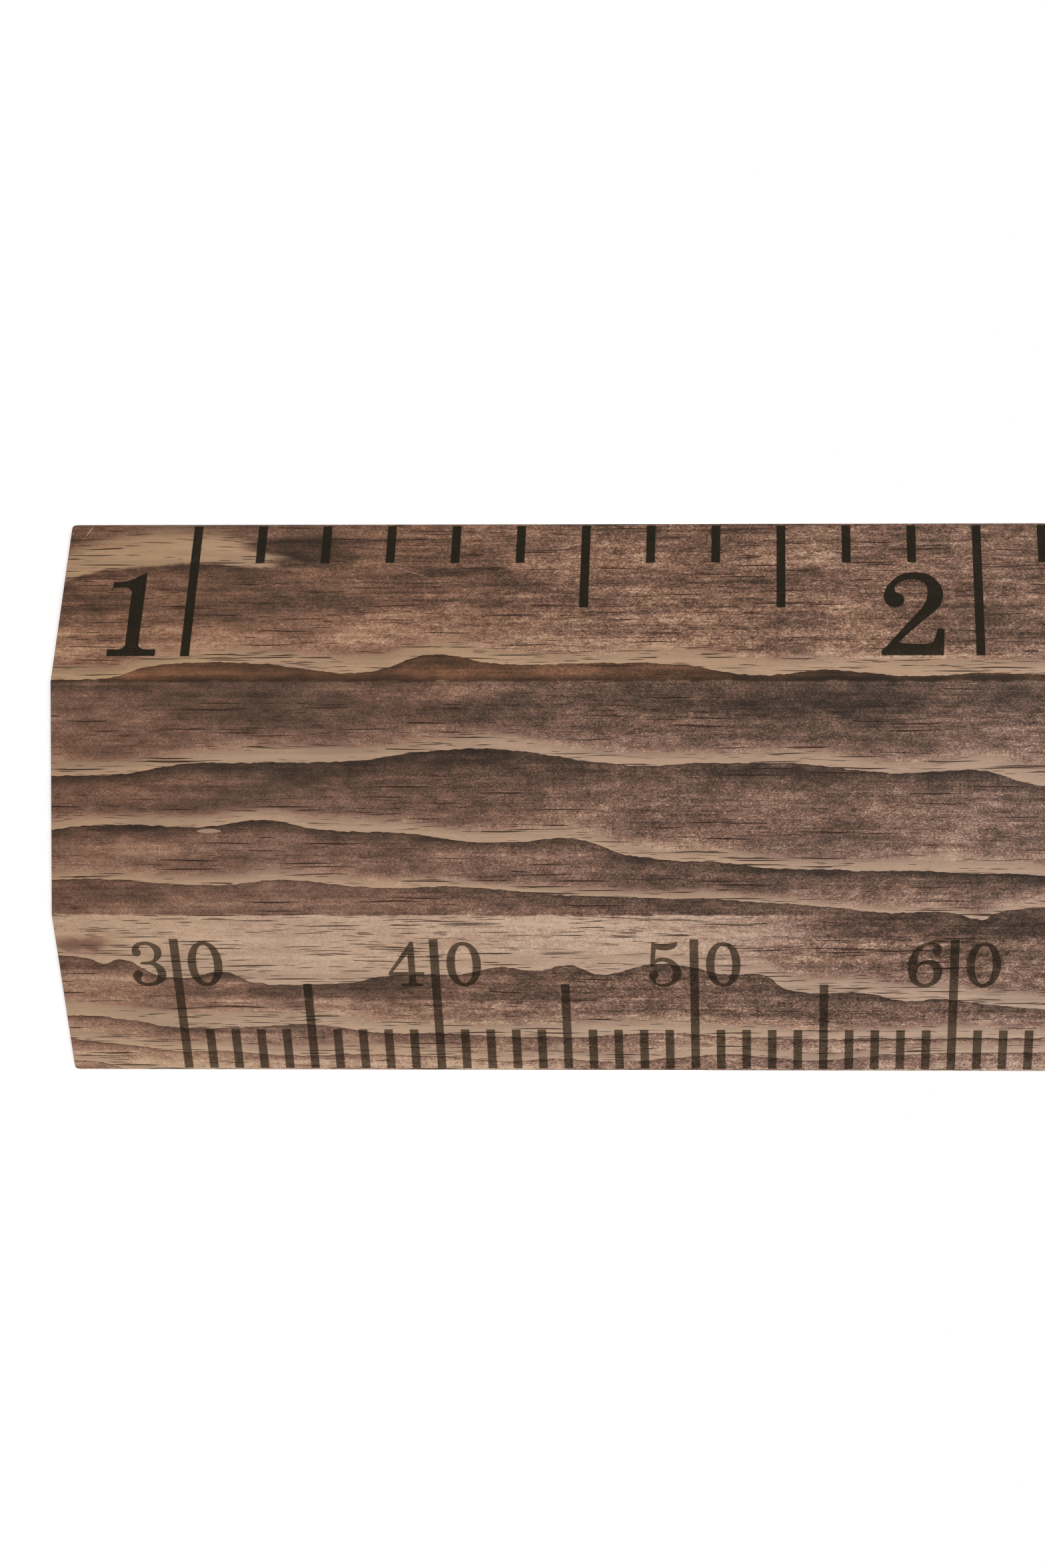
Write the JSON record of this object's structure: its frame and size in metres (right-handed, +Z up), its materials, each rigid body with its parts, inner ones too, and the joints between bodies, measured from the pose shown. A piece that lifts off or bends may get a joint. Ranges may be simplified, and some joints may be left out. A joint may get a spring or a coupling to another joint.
{
  "type": "height chart ruler",
  "caption": "Wall-hung wooden height chart in the form of a giant bevelled ruler, with a foot scale and a centimetre scale and flush keyhole hangers behind.",
  "frame": {"origin": "middle of the bottom edge of the flat back, where the ruler's lower end meets the wall", "axes": "+Z up the ruler, -Y out of its bevelled face, +Y out of its back into the wall, foot scale on the -X side and centimetre scale on the +X side; z plus 0.254 m is the height above the floor that the ruler reads"},
  "size_m": [0.215, 0.02, 1.7],
  "materials": {
    "wood": "stained and brushed, satin",
    "print": "dark printed ink, matt",
    "zinc_plate": "bright zinc plate",
    "screw_steel": "zinc-plated steel"
  },
  "bodies": {
    "root": {"board": "wood", "foot_lines": "print", "quarter_foot_ticks": "print", "inch_ticks": "print", "ten_centimetre_lines": "print", "five_centimetre_ticks": "print", "centimetre_ticks": "print", "upper_hanger_plate": "zinc_plate", "lower_hanger_plate": "zinc_plate", "upper_hanger_screws": "screw_steel", "lower_hanger_screws": "screw_steel"}
  },
  "joints": []
}
